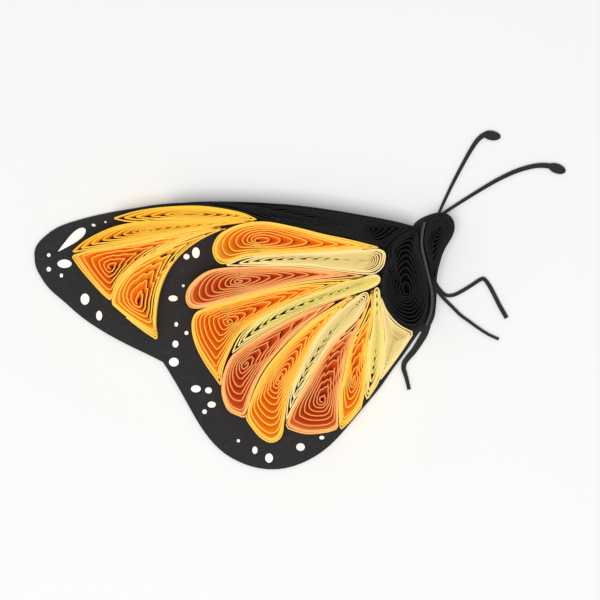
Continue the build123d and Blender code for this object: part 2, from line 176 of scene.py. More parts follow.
class FoldLine:
    """The crease line of a coil: maps a place along and beside it to the plane.

    Attributes:
        STEPS: How many pieces each span of the line is divided into.
        ROUNDS: How often the nearest place on the line is corrected.
    """

    STEPS = 12
    ROUNDS = 4

    def __init__(self, points: Run) -> None:
        """Measure the line.

        Args:
            points: The points that it is drawn through, in millimetres.
        """
        line = smooth(points, self.STEPS)
        self.line = line
        self.run = [0.0]
        for a, b in zip(line, line[1:]):
            self.run.append(self.run[-1] + abs(b - a))
        ways = [line[1] - line[0]] + [c - a for a, c in zip(line, line[2:])] + [line[-1] - line[-2]]
        self.heading = [v / abs(v) for v in ways]

    def place(self, along: float, beside: float) -> complex:
        """Find a point by its length along the line and its distance to the left.

        Args:
            along: Length along the line; the ends run on straight.
            beside: Distance to the left of the line.

        Returns:
            The point in the plane.
        """
        i = min(max(bisect_right(self.run, along) - 1, 0), len(self.run) - 2)
        span = self.run[i + 1] - self.run[i]
        share = (along - self.run[i]) / span
        inner = clamp(share)
        heading = self.heading[i] + inner * (self.heading[i + 1] - self.heading[i])
        point = self.line[i] + inner * (self.line[i + 1] - self.line[i])
        return point + heading / abs(heading) * complex((share - inner) * span, beside)

    def locate(self, q: complex) -> Pair:
        """Find the length along the line and the distance to its left of a point.

        Args:
            q: The point.

        Returns:
            The two measures, as place() takes them.
        """
        nearest = min(range(len(self.line)), key=lambda k: abs(q - self.line[k]))
        along = self.run[nearest]
        heading = self.heading[nearest]
        for _ in range(self.ROUNDS):
            foot = self.place(along, 0.0)
            heading = (self.place(along, 1.0) - foot) / 1j
            along += ((q - foot) / heading).real
        return along, ((q - self.place(along, 0.0)) / heading).imag


# Shader maths


class Socket:
    """A shader value that is used in Python expressions; each operator adds a Math node."""

    def __init__(self, shader: Shader, link: Any) -> None:
        """Wrap a node's output."""
        self.shader = shader
        self.link = link

    def _math(self, operation: str, *values: Any) -> Socket:
        """Add a Math node on the given values."""
        return self.shader.node("ShaderNodeMath", {"operation": operation}, *values)

    def __add__(self, other: Any) -> Socket:
        """Add."""
        return self._math("ADD", self, other)

    __radd__ = __add__

    def __mul__(self, other: Any) -> Socket:
        """Multiply."""
        return self._math("MULTIPLY", self, other)

    __rmul__ = __mul__

    def __sub__(self, other: Any) -> Socket:
        """Subtract."""
        return self._math("SUBTRACT", self, other)

    def __rsub__(self, other: Any) -> Socket:
        """Subtract from a number."""
        return self._math("SUBTRACT", other, self)


class Shader:
    """The node tree of one material, with one method that adds any node."""

    def __init__(self, name: str) -> None:
        """Start an empty material.

        Args:
            name: The material's name.
        """
        self.material = bpy.data.materials.new(name)
        self.material.use_nodes = True
        self.tree = self.material.node_tree
        self.tree.nodes.clear()

    def node(self, kind: str, settings: dict[str, Any] | None = None, *values: Any,
             output: int | str = 0, **named: Any) -> Socket:
        """Add a node.

        Args:
            kind: The node's type.
            settings: Its own settings, set first; "stops" fills a colour ramp.
            *values: Values or links of its first inputs, None to skip one.
            output: Which output the result wraps.
            **named: Values or links of inputs by name, with _ for a space.

        Returns:
            The chosen output.
        """
        made = self.tree.nodes.new(kind)
        for key, value in (settings or {}).items():
            if key == "stops":
                self._fill_ramp(made.color_ramp, value)
            else:
                setattr(made, key, value)
        inputs = [(made.inputs[i], v) for i, v in enumerate(values) if v is not None]
        inputs += [(made.inputs[key.replace("_", " ")], v) for key, v in named.items()]
        for socket, value in inputs:
            if isinstance(value, Socket):
                self.tree.links.new(value.link, socket)
            else:
                socket.default_value = value
        return Socket(self, made.outputs[output] if made.outputs else None)

    @staticmethod
    def _fill_ramp(ramp: Any, stops: list[tuple[float, Colour]]) -> None:
        """Set the stops of a colour ramp.

        Args:
            ramp: The ramp.
            stops: Place and colour of each stop.
        """
        while len(ramp.elements) < len(stops):
            ramp.elements.new(1.0)
        for element, (position, colour) in zip(ramp.elements, stops):
            element.position = position
            element.color = rgba(colour)

    def mix(self, share: Any, first: Any, second: Any, blend: str = "MIX") -> Socket:
        """Mix two colours.

        Args:
            share: How much of the second colour.
            first: The first colour or link.
            second: The second colour or link.
            blend: The blend type.

        Returns:
            The mixed colour.
        """
        colours = [rgba(v) if isinstance(v, tuple) else v for v in (first, second)]
        # Inputs 1 to 5 and outputs 0 and 1 are for other kinds of value
        return self.node("ShaderNodeMix", {"data_type": "RGBA", "blend_type": blend},
                         share, *[None] * 5, *colours, output=2)

    def noise(self, grain: Grain, place: Socket) -> Socket:
        """Add a noise that reads the given place."""
        return self.node("ShaderNodeTexNoise", None, Vector=place, Scale=grain.scale,
                         Detail=grain.detail, Roughness=grain.roughness)

    def lit(self, colour: Any, value: Socket) -> Socket:
        """Scale a colour's brightness."""
        return self.node("ShaderNodeHueSaturation", None, Value=value, Color=colour)

    def surface(self, colour: Socket, grain: Socket, skin: Skin, through: Any = (0, 0, 0),
                painted_glow_strength: float = 0.0) -> bpy.types.Material:
        """Finish the material with a Principled surface.

        Args:
            colour: Base colour.
            grain: Height of the relief, 0 to 1.
            skin: How the surface takes the light.
            through: Colour of the painted glow, an emission that stands in for light reaching the
                surface through the sheet.
            painted_glow_strength: How strong that painted glow is.

        Returns:
            The material.
        """
        bump = self.node("ShaderNodeBump", None, Strength=1.0, Distance=skin.relief, Height=grain)
        # The emission is a painted glow: the surface gives off light of its own, standing in for
        # light that comes through the sheet.
        made = self.node("ShaderNodeBsdfPrincipled", None, Base_Color=colour,
                         Roughness=skin.roughness + skin.unevenness * grain, Normal=bump,
                         Specular_IOR_Level=skin.specular, Subsurface_Weight=skin.glow,
                         Subsurface_Radius=skin.spread, Subsurface_Scale=skin.spread_depth,
                         Emission_Color=through if isinstance(through, Socket) else rgba(through),
                         Emission_Strength=painted_glow_strength)
        self.node("ShaderNodeOutputMaterial", None, made)
        return self.material


def linear(level: float) -> float:
    """Turn a level as seen on screen, 0 to 255, into linear light by the sRGB curve."""
    share = level / 255
    return share / 12.92 if share <= 0.04045 else ((share + 0.055) / 1.055) ** 2.4


def rgba(colour: Colour) -> tuple[float, float, float, float]:
    """Turn a colour as seen on screen, 0 to 255, into Blender's linear colour with full alpha."""
    red, green, blue = (linear(level) for level in colour)
    return red, green, blue, 1.0


# Finishes


@dataclass(frozen=True)
class Grain:
    """A noise over the object or along a strip.

    Attributes:
        scale: How fine it is.
        detail: How many finer layers lie on it.
        roughness: How strong those are.
    """

    scale: float
    detail: float
    roughness: float = 0.5


@dataclass(frozen=True)
class Skin:
    """How a sheet's surface takes the light.

    Attributes:
        roughness: Roughness in the hollows of the grain.
        unevenness: How much rougher the heights of the grain are.
        relief: Depth of the grain, in metres.
        specular: Specular level.
        glow: How much of the light spreads inside the sheet.
        spread: How far red, green and blue light gets there, as shares of spread_depth.
        spread_depth: How far light gets at most, in metres.
    """

    roughness: float
    unevenness: float
    relief: float
    specular: float = 0.3
    glow: float = 0.0
    spread: Colour = (1.0, 0.4, 0.12)
    spread_depth: float = 0.0004


@dataclass(frozen=True)
class PaperFinish:
    """Quilling paper, dye right through; its cut edges are paler as painted highlight.

    A coil may be rolled from strips joined end to end; then the colour changes
    from the rim to the outer turns and on to the inner ones. Paler outer turns and
    darker inner turns also carry painted light: lit outer edges, and painted shade
    in the open gaps between the inner turns.

    Attributes:
        rim: Colour of the outermost turns.
        outer: Colour of the turns inside them.
        inner: Colour of the innermost turns.
        cut: Colour of the cut edges, paler as painted highlight for the upper edges.
        edge_highlight_share: How much of that painted highlight they show.
        through: Strength of the painted glow of the faces, an emission that stands in for light
            coming through the paper.
        rim_end: Turn at which the rim's colour ends.
        outer_start: Turn at which the next colour is reached.
        inner_start: Share of the strip at which the innermost colour is reached.
        shift: How far a change of colour wanders, as a share of the strip.
        least: Brightness without fibres and the painted bands between turns.
        fibre_share: How much brightness the fibres add.
        turn_shade_share: How much brightness the painted bands of light and shade add.
        turn_shades: Painted bands of light and shade in a turn, and across the strip.
        painted_glow_tint: How much the painted glow is tinted once more.
    """

    name: str
    rim: Colour
    outer: Colour
    inner: Colour
    cut: Colour
    slot: str
    edge_highlight_share: float = 0.5
    through: float = 0.22
    rim_end: float = 2.6
    outer_start: float = 3.4
    inner_start: float = 0.8
    shift: float = 0.12
    least: float = 0.84
    fibre_share: float = 0.08
    turn_shade_share: float = 0.12
    turn_shades: Pair = (4.0, 0.2)
    painted_glow_tint: float = 0.25
    wander: Grain = Grain(scale=420.0, detail=3.0)
    fibre: Grain = Grain(scale=5200.0, detail=4.0, roughness=0.65)
    turn_shade: Grain = Grain(scale=1.0, detail=1.0)
    skin: Skin = Skin(roughness=0.78, unevenness=0.14, relief=0.00004, specular=0.2, glow=0.35)

    def face(self, turns: int) -> bpy.types.Material:
        """Make the material of the strip's two faces."""
        return self._paper(f"{self.name}_face", turns, 0.0)

    def edge(self, turns: int) -> bpy.types.Material:
        """Make the material of the strip's cut edges."""
        return self._paper(f"{self.name}_edge", turns, self.edge_highlight_share)

    def _paper(self, name: str, turns: int, pale: float) -> bpy.types.Material:
        """Build the paper's nodes.

        Args:
            name: The material's name.
            turns: Turns of the coil.
            pale: How much of the cut edges' paler colour, painted highlight, is mixed in.

        Returns:
            The material.
        """
        shader = Shader(name)
        strip = shader.node("ShaderNodeUVMap", {"uv_map": "UVMap"})
        along = shader.node("ShaderNodeSeparateXYZ", None, strip)
        place = shader.node("ShaderNodeTexCoord", None, output="Object")
        wander = shader.noise(self.wander, place)
        fibre = shader.noise(self.fibre, place)
        # Bands of brightness from turn to turn along the strip: painted light and shade for the lit
        # edges and dark gaps between pressed turns.
        stretch = shader.node("ShaderNodeMapping", None, Vector=strip,
                              Scale=(self.turn_shades[0] * turns, self.turn_shades[1], 1.0))
        turn_shade = shader.noise(self.turn_shade, stretch)
        # Colour from rim to inner turns: partly strips of two colours joined end to end, partly
        # painted light, with paler outer turns and darker inner turns for the shade in the open
        # gaps.
        stops = [(0.0, self.rim), (self.rim_end / turns, self.rim),
                 (self.outer_start / turns, self.outer), (self.inner_start, self.inner)]
        dye_and_painted_light = shader.node("ShaderNodeValToRGB", {"stops": stops},
                           along + self.shift * (wander - 0.5))
        # Painted highlight: the cut edges, the upper edges that face the light among them, take a
        # paler colour.
        dye_and_painted_light = shader.mix(pale, dye_and_painted_light, self.cut)
        value = self.least + self.fibre_share * fibre + self.turn_shade_share * turn_shade
        mottled_and_painted_light = shader.lit(dye_and_painted_light, value)
        # Painted glow: the faces emit a deeper copy of their own colour, standing in for light that
        # comes through the paper; the cut edges do not glow.
        painted_glow_colour = shader.mix(self.painted_glow_tint, mottled_and_painted_light, mottled_and_painted_light, "MULTIPLY")
        return shader.surface(mottled_and_painted_light, fibre, self.skin, painted_glow_colour, 0.0 if pale else self.through)


@dataclass(frozen=True)
class CardFinish:
    """Dark uncoated card with a fine felt grain.

    Attributes:
        fibre_colour: Colour of the fibres that lie on top.
        fibre_range: Heights of the grain at which such fibres begin and show most.
        fibre_share: How much they show there.
        least: Brightness without the slow clouds.
        cloud_share: How much brightness these add.
    """

    name: str = "grey_card"
    colour: Colour = (40, 40, 42)
    fibre_colour: Colour = (60, 60, 62)
    fibre_range: Pair = (0.56, 0.8)
    fibre_share: float = 0.6
    least: float = 0.9
    cloud_share: float = 0.2
    felt: Grain = Grain(scale=1500.0, detail=5.0, roughness=0.6)
    cloud: Grain = Grain(scale=160.0, detail=2.0)
    skin: Skin = Skin(roughness=0.82, unevenness=0.1, relief=0.00006, specular=0.15)

    def material(self) -> bpy.types.Material:
        """Build the card's nodes.

        Returns:
            The material.
        """
        shader = Shader(self.name)
        place = shader.node("ShaderNodeTexCoord", None, output="Object")
        felt = shader.noise(self.felt, place)
        cloud = shader.noise(self.cloud, place)
        fibres = shader.node("ShaderNodeMapRange", None, felt, *self.fibre_range, 0.0,
                             self.fibre_share)
        base = shader.mix(fibres, self.colour, self.fibre_colour)
        tinted = shader.lit(base, self.least + self.cloud_share * cloud)
        return shader.surface(tinted, felt, self.skin)


@dataclass(frozen=True)
class PrintFinish:
    """Opaque white ink, slightly uneven where the card's grain shows through.

    Attributes:
        least: Brightness in the hollows of the grain.
        grain_share: How much brightness the grain's heights add.
    """

    name: str = "white_print"
    colour: Colour = (244, 243, 240)
    slot: str = "white_print"
    least: float = 0.9
    grain_share: float = 0.14
    grain: Grain = Grain(scale=2600.0, detail=4.0)
    skin: Skin = Skin(roughness=0.6, unevenness=0.15, relief=0.00002)

    def material(self) -> bpy.types.Material:
        """Build the ink's nodes.

        Returns:
            The material.
        """
        shader = Shader(self.name)
        place = shader.node("ShaderNodeTexCoord", None, output="Object")
        grain = shader.noise(self.grain, place)
        tinted = shader.lit(rgba(self.colour), self.least + self.grain_share * grain)
        return shader.surface(tinted, grain, self.skin)


class Paper(Enum):
    """The papers that the butterfly is rolled from."""

    # Each paper lists rim, outer, inner and cut colours. In the yellow-to-orange and
    # yellow-to-amber coils two papers are joined, so rim and inner colours differ for real; in all
    # of them paler rims and darker inner turns also carry painted light, lit outer edges and
    # painted shade in the open gaps. The paler cut colour is painted highlight for the upper edges.
    YELLOW = PaperFinish(
        "yellow", (246, 196, 64), (236, 173, 35), (224, 152, 24), (247, 197, 72), "yellow_paper")
    YELLOW_TO_AMBER = PaperFinish(
        "yellow_to_amber", (251, 205, 82), (247, 188, 50), (240, 145, 24), (251, 207, 92),
        "yellow_paper")
    YELLOW_TO_ORANGE = PaperFinish(
        "yellow_to_orange", (251, 203, 80), (243, 169, 38), (234, 120, 14), (251, 203, 88),
        "yellow_paper")
    ORANGE = PaperFinish(
        "orange", (251, 201, 84), (240, 155, 32), (233, 117, 12), (251, 198, 84), "orange_paper")
    RED = PaperFinish(
        "red", (247, 181, 104), (219, 106, 40), (207, 79, 20), (249, 184, 111), "red_paper")
    CREAM = PaperFinish(
        "cream", (243, 220, 158), (223, 198, 116), (208, 178, 86), (238, 212, 148), "cream_paper")
    PALE_YELLOW = PaperFinish(
        "pale_yellow", (241, 219, 140), (226, 203, 99), (212, 184, 78), (238, 214, 127),
        "cream_paper")
    BLACK = PaperFinish(
        "black", (16, 16, 15), (11, 11, 11), (10, 10, 10), (28, 28, 27), "black_paper")
    # Black paper painted grey: a painted highlight on the lit upper edge of the strip between
    # thorax and head.
    GREY_PAINTED_HIGHLIGHT = PaperFinish(
        "black_painted_highlight", (44, 44, 43), (44, 44, 43), (44, 44, 43), (84, 84, 82), "black_paper")


# Pattern


@dataclass(frozen=True)
class Lay:
    """How the turns of a coil lie inside its outline.

    Attributes:
        tight: Outer turns that lie tight against each other as a solid rim.
        press: How much closer the outer turns lie beside the crease than the inner ones.
        blunt: How far the folds stay back from the tip and open into round noses.
        roundness: How far the innermost turns have sprung back to a circle.
        looseness: How unevenly the turns lie, as a share of their pitch.
        lean: How far the foot of a loose turn may lean inwards, in millimetres.
    """

    tight: int
    press: float
    blunt: float
    roundness: float
    looseness: float
    lean: float


class Shape(Enum):
    """The shapes that the coils are pinched to."""

    DROP = Lay(tight=3, press=0.7, blunt=0.7, roundness=0.8, looseness=0.12, lean=1.5)
    FAN = Lay(tight=3, press=0.8, blunt=0.3, roundness=0.8, looseness=0.12, lean=1.0)
    BLADE = Lay(tight=2, press=0.6, blunt=0.6, roundness=0.3, looseness=0.12, lean=0.5)
    LEAF = Lay(tight=2, press=0.0, blunt=0.0, roundness=0.1, looseness=0.12, lean=0.0)


@dataclass
class Coil:
    """One rolled and pinched coil of the pattern.

    Attributes:
        paper: What it is rolled from.
        shape: What it is pinched to.
        turns: Turns of the strip.
        eye: The coil's eye, which the turns close on.
        spine: The crease line, through the eye to the tips.
        runs: The outline, one rounded run from crease to crease.
    """

    paper: Paper
    shape: Shape
    turns: int
    eye: Pair
    spine: Run
    runs: list[Run]

    def fitted(self, stretch: Pair) -> Coil:
        """Scale the drawn coil to the frame's size.

        Args:
            stretch: Scale along X and along Y.

        Returns:
            The scaled coil.
        """
        eye, spine, *runs = [[(x * stretch[0], y * stretch[1]) for x, y in run]
                             for run in ([self.eye], self.spine, *self.runs)]
        return replace(self, eye=eye[0], spine=spine, runs=runs)


# Length and width of the butterfly as it is drawn here, and the picture's width against it
DRAWN_SIZE = (67.54, 43.07)
PICTURE_SHARE = 1.13

# Veins: stretches of outline that two neighbouring coils share, named for the forewing's (F)
# and the hindwing's (H) coils on their two sides
VEIN_F2_F3 = [(-26.2, 6.0), (-29.8, 5.4), (-33.4, 4.6), (-37.0, 3.9), (-39.8, 3.4)]
VEIN_F3_F4 = [(-36.4, -1.2), (-35.0, 0.6), (-33.0, 2.2), (-30.5, 3.6), (-27.7, 4.8),
              (-25.2, 5.7)]
VEIN_H1_H2 = [(-20.2, 2.5), (-15.5, 2.9), (-10.2, 3.2), (-5.9, 3.5)]
VEIN_H3_H4 = [(-22.7, -3.1), (-19.1, -2.1), (-15.5, -1.2), (-11.2, -0.5)]
VEIN_H4_H5 = [(-18.8, -5.6), (-14.6, -3.3), (-11.2, -2.0), (-7.7, -0.7)]
VEIN_H5_H6 = [(-8.4, -2.7), (-12.0, -4.0), (-15.5, -5.7), (-18.8, -7.6), (-20.5, -8.7)]
VEIN_H7_H8 = [(-14.8, -15.5), (-14.1, -13.4), (-13.1, -11.4), (-12.0, -8.9), (-10.4, -6.5),
              (-8.9, -4.8), (-7.7, -3.6), (-6.6, -2.7)]
VEIN_H8_H9 = [(-5.1, -3.9), (-6.0, -5.2), (-7.3, -6.5), (-8.9, -8.0), (-10.2, -9.6),
              (-11.3, -11.4), (-12.3, -13.3), (-13.4, -15.2), (-14.3, -16.8)]
VEIN_H9_H10 = [(-8.4, -16.8), (-8.2, -14.3), (-7.7, -11.8), (-7.3, -9.8), (-6.6, -8.0),
               (-5.9, -6.4), (-5.1, -4.5)]
VEIN_H10_H11 = [(-5.1, -14.6), (-4.9, -12.5), (-4.8, -10.4), (-4.6, -8.2), (-4.2, -6.1),
                (-4.1, -3.9)]
VEIN_H11_H12 = [(-2.9, -4.1), (-2.7, -6.1), (-2.6, -8.6), (-2.9, -11.1)]

COILS = {
    "forewing_coil_1": Coil(
        Paper.YELLOW, Shape.BLADE, turns=7, eye=(-28.0, 7.9),
        spine=[(-37.1, 7.4), (-32.3, 7.7), (-28.0, 7.9), (-23.4, 7.7), (-18.5, 7.2)],
        runs=[[(-37.1, 7.4), (-34.1, 8.3), (-30.9, 8.8), (-26.2, 9.0), (-22.7, 8.6),
               (-20.2, 8.0)],
              [(-18.5, 7.2), (-22.7, 7.1), (-28.0, 7.1), (-32.3, 7.1), (-34.8, 6.9)]]),
    "forewing_coil_2": Coil(
        Paper.YELLOW, Shape.BLADE, turns=9, eye=(-32.3, 5.9),
        spine=[(-42.3, 3.0), (-38.4, 4.5), (-33.0, 5.8), (-27.0, 6.5), (-18.6, 7.1)],
        runs=[[(-42.3, 3.0), (-40.7, 4.4), (-38.8, 5.5), (-36.6, 6.4), (-34.1, 6.9),
               (-30.9, 7.1), (-26.2, 7.1), (-22.0, 7.1)],
              [(-18.6, 7.1), (-22.7, 6.6), *VEIN_F2_F3]]),
    "forewing_coil_3": Coil(
        Paper.ORANGE, Shape.FAN, turns=8, eye=(-37.3, 1.2),
        spine=[(-40.2, -0.4), (-37.3, 1.2), (-35.2, 2.4), (-32.7, 3.6), (-29.8, 4.6),
               (-27.0, 5.5), (-23.0, 6.4)],
        runs=[[(-23.0, 6.4), *VEIN_F2_F3],
              [(-42.2, 2.7), (-41.1, 1.1), (-39.8, -0.5), (-38.5, -2.0)],
              [(-37.3, -3.2), *VEIN_F3_F4]]),
    "forewing_coil_4": Coil(
        Paper.YELLOW_TO_AMBER, Shape.FAN, turns=8, eye=(-33.8, -3.4),
        spine=[(-34.5, -6.1), (-33.8, -3.4), (-32.9, -1.1), (-31.8, 0.8), (-30.2, 2.5),
               (-28.0, 3.9), (-25.5, 5.3), (-22.3, 6.3)],
        runs=[[(-22.3, 6.3), (-24.8, 5.3), (-27.0, 4.0), (-28.8, 2.4), (-30.1, 0.5),
               (-31.0, -1.8), (-31.4, -4.1), (-31.5, -6.2)],
              [(-31.3, -8.0), (-32.7, -7.1), (-34.3, -5.9), (-35.9, -4.6)],
              [(-37.2, -3.4), *VEIN_F3_F4]]),
    "hindwing_coil_1": Coil(
        Paper.YELLOW_TO_ORANGE, Shape.DROP, turns=10, eye=(-18.9, 4.6),
        spine=[(-24.3, 2.5), (-22.7, 3.4), (-20.9, 4.2), (-18.0, 4.8), (-14.5, 4.8),
               (-10.2, 4.4), (-5.9, 4.0), (-2.9, 3.7)],
        runs=[[(-2.9, 3.7), (-7.3, 4.8), (-10.2, 5.4), (-13.8, 6.3), (-17.7, 7.0), (-20.2, 6.8),
               (-22.3, 6.1), (-23.8, 5.0), (-24.4, 3.2), (-23.4, 1.5), *VEIN_H1_H2]]),
    "hindwing_coil_2": Coil(
        Paper.CREAM, Shape.LEAF, turns=12, eye=(-5.5, 2.1),
        spine=[(-2.3, 2.3), (-5.5, 2.1), (-12.0, 2.2), (-17.3, 2.0), (-23.0, 1.4)],
        runs=[[(-23.0, 1.4), *VEIN_H1_H2, (-2.9, 3.6), (-2.4, 3.0), (-2.5, 1.9), (-2.9, 1.1),
               (-3.9, 0.4), (-8.4, 0.7), (-13.8, 1.3), (-19.1, 1.4)]]),
    "hindwing_coil_3": Coil(
        Paper.RED, Shape.DROP, turns=11, eye=(-21.1, -0.6),
        spine=[(-27.7, -2.9), (-25.2, -2.0), (-23.0, -1.1), (-20.2, -0.4), (-15.5, 0.1),
               (-10.2, 0.2), (-4.5, 0.1)],
        runs=[[(-4.5, 0.1), (-8.4, 0.7), (-13.8, 1.3), (-19.1, 1.4), (-23.4, 1.1), (-25.0, 0.7),
               (-26.6, -0.4), (-27.5, -1.6), (-27.7, -2.9), (-27.2, -3.8), (-26.1, -4.0),
               *VEIN_H3_H4, (-7.7, -0.2)]]),
    "hindwing_coil_4": Coil(
        Paper.ORANGE, Shape.DROP, turns=11, eye=(-22.2, -5.7),
        spine=[(-23.2, -14.1), (-23.7, -10.4), (-22.8, -6.7), (-21.0, -4.6), (-18.0, -3.4),
               (-14.5, -2.1), (-10.5, -1.1), (-5.5, -0.1)],
        runs=[[(-5.5, -0.1), (-7.7, -0.3), *VEIN_H3_H4[::-1], (-25.2, -3.9), (-26.4, -4.5),
               (-26.9, -5.5), (-26.9, -7.0), (-26.4, -8.8), (-25.2, -11.1), (-23.9, -13.0)],
              [(-23.2, -14.1), (-22.9, -11.8), (-22.1, -9.5), (-20.9, -7.3), *VEIN_H4_H5]]),
    "hindwing_coil_5": Coil(
        Paper.PALE_YELLOW, Shape.LEAF, turns=15, eye=(-5.5, -0.8),
        spine=[(-3.1, -0.2), (-5.2, -0.7), (-9.5, -2.3), (-13.8, -3.9), (-17.3, -5.8),
               (-20.2, -7.9), (-22.0, -9.8)],
        runs=[[(-22.0, -9.8), (-20.9, -7.5), *VEIN_H4_H5, (-5.9, -0.2), (-3.8, 0.4), (-3.1, 0.1),
               (-3.1, -0.6), (-3.8, -1.2), (-5.9, -2.0), *VEIN_H5_H6]]),
    "hindwing_coil_6": Coil(
        Paper.RED, Shape.DROP, turns=10, eye=(-20.2, -11.2),
        spine=[(-21.4, -17.6), (-21.2, -14.3), (-20.2, -11.2), (-18.0, -8.9), (-15.2, -7.0),
               (-11.6, -4.7), (-6.1, -2.1)],
        runs=[[(-6.1, -2.1), *VEIN_H5_H6, (-22.0, -10.1), (-22.9, -12.1), (-23.2, -14.1),
               (-23.0, -15.5), (-22.3, -16.9), (-21.2, -17.5), (-20.2, -17.7), (-19.5, -15.4),
               (-18.6, -13.1), (-17.4, -11.1), (-16.0, -9.4), (-13.8, -7.2), (-11.2, -5.2),
               (-8.8, -3.7), (-7.3, -2.8)]]),
    "hindwing_coil_7": Coil(
        Paper.YELLOW_TO_ORANGE, Shape.DROP, turns=13, eye=(-15.9, -13.0),
        spine=[(-17.3, -20.9), (-17.0, -17.5), (-16.2, -14.3), (-15.0, -10.9), (-12.9, -7.9),
               (-10.5, -5.5), (-5.9, -2.2)],
        runs=[[(-5.9, -2.2), (-7.3, -2.8), (-8.8, -3.7), (-11.2, -5.2), (-13.8, -7.3),
               (-15.9, -9.5), (-17.3, -11.2), (-18.5, -13.2), (-19.4, -15.4), (-20.1, -17.7),
               (-19.4, -19.0), (-18.2, -20.4), (-16.9, -21.0), (-15.6, -20.4), (-15.2, -18.2),
               *VEIN_H7_H8]]),
    "hindwing_coil_8": Coil(
        Paper.CREAM, Shape.LEAF, turns=11, eye=(-7.3, -4.8),
        spine=[(-4.8, -2.1), (-7.3, -4.8), (-9.8, -7.5), (-11.4, -10.0), (-13.0, -12.9),
               (-14.1, -15.5), (-15.1, -18.6)],
        runs=[[(-15.1, -18.6), *VEIN_H7_H8, (-5.7, -2.1), (-4.9, -1.8), (-4.5, -2.4),
               *VEIN_H8_H9]]),
    "hindwing_coil_9": Coil(
        Paper.RED, Shape.DROP, turns=10, eye=(-10.5, -15.7),
        spine=[(-11.4, -19.9), (-10.5, -15.7), (-10.0, -13.2), (-9.1, -10.9), (-7.8, -8.2),
               (-6.3, -5.8), (-4.7, -3.2)],
        runs=[[(-4.7, -3.2), *VEIN_H8_H9],
              [(-15.2, -19.1), (-12.7, -19.9), (-10.2, -19.8)],
              [(-8.4, -19.4), *VEIN_H9_H10]]),
    "hindwing_coil_10": Coil(
        Paper.YELLOW_TO_ORANGE, Shape.DROP, turns=8, eye=(-6.6, -13.6),
        spine=[(-7.1, -18.5), (-6.7, -15.7), (-6.6, -13.6), (-6.2, -10.7), (-5.5, -7.9),
               (-4.8, -4.6), (-4.1, -1.5)],
        runs=[[(-4.1, -1.5), (-4.5, -2.7), *VEIN_H9_H10[::-1]],
              [(-8.2, -19.4), (-7.0, -18.3)],
              [(-5.5, -16.5), *VEIN_H10_H11]]),
    "hindwing_coil_11": Coil(
        Paper.PALE_YELLOW, Shape.LEAF, turns=8, eye=(-3.6, -8.2),
        spine=[(-3.5, -1.3), (-3.5, -3.6), (-3.5, -6.1), (-3.6, -8.6), (-3.9, -11.1),
               (-4.2, -13.2), (-4.8, -15.6)],
        runs=[[(-4.8, -15.6), *VEIN_H10_H11, (-4.0, -2.4), (-3.9, -1.6), (-3.5, -1.3),
               (-3.2, -1.7), (-3.1, -2.7), *VEIN_H11_H12, (-3.3, -13.2)]]),
    "hindwing_coil_12": Coil(
        Paper.CREAM, Shape.LEAF, turns=12, eye=(-1.6, -8.4),
        spine=[(-2.7, -13.0), (-0.5, -5.7)],
        runs=[[(-3.2, -13.2), *VEIN_H11_H12[::-1]],
              [(-3.1, -2.2), (-2.2, -4.3), (-0.7, -6.0)],
              [(1.2, -7.0), (-0.6, -9.7), (-1.9, -11.5)]]),
    "leading_edge_coil": Coil(
        Paper.BLACK, Shape.LEAF, turns=10, eye=(-5.9, 6.2),
        spine=[(-29.5, 9.3), (-26.2, 9.3), (-22.7, 9.2), (-19.8, 8.8), (-16.6, 8.2),
               (-12.0, 7.4), (-8.0, 6.6), (-4.5, 5.9), (-0.5, 5.1)],
        runs=[[(-30.2, 9.2), (-26.2, 9.5), (-20.9, 9.5), (-15.5, 9.2), (-10.2, 8.6), (-4.8, 7.7),
               (-1.2, 6.9)],
              [(1.2, 6.2), (-0.7, 5.4)],
              [(-2.6, 3.9), (-4.8, 4.3), (-7.3, 4.9), (-10.2, 5.5), (-13.8, 6.4), (-16.2, 7.0),
               (-18.0, 7.3), (-20.2, 8.1), (-22.7, 8.7), (-26.2, 9.1)]]),
    "thorax_coil": Coil(
        Paper.BLACK, Shape.DROP, turns=12, eye=(0.2, -2.1),
        spine=[(0.9, -6.6), (0.2, -2.1), (-0.2, 1.4), (0.0, 3.9), (1.2, 6.1)],
        runs=[[(1.2, 6.1), (-0.7, 5.2)],
              [(-2.1, 3.7), (-2.1, 2.5), (-2.5, 1.4), (-2.8, 0.2), (-3.0, -1.2), (-2.8, -2.6),
               (-2.0, -4.4), (-0.7, -6.0), (0.8, -6.6), (2.0, -6.2), (2.8, -4.6), (3.0, -2.5),
               (2.8, -0.4), (2.3, 1.8), (1.8, 3.8), (1.6, 5.4)]]),
    "head_coil": Coil(
        Paper.BLACK, Shape.DROP, turns=10, eye=(4.5, 6.3),
        spine=[(4.7, 7.9), (4.5, 6.3), (3.8, 3.4), (3.9, -0.3)],
        runs=[[(3.9, -0.3), (3.4, 0.2), (3.0, 1.8), (2.5, 3.8), (2.5, 5.6), (3.0, 6.8),
               (3.8, 7.6), (4.9, 7.9), (5.8, 7.4), (6.1, 6.4), (6.0, 5.5), (5.2, 4.1),
               (4.6, 3.1), (4.2, 1.8), (4.0, 0.7)]]),
}

# Course of the strip between thorax and head
DIVIDER = [(2.5, 6.9), (2.2, 5.7), (2.1, 4.1), (2.5, 2.1), (3.0, 0.0), (3.4, -2.1), (3.3, -4.3),
           (2.7, -6.1)]


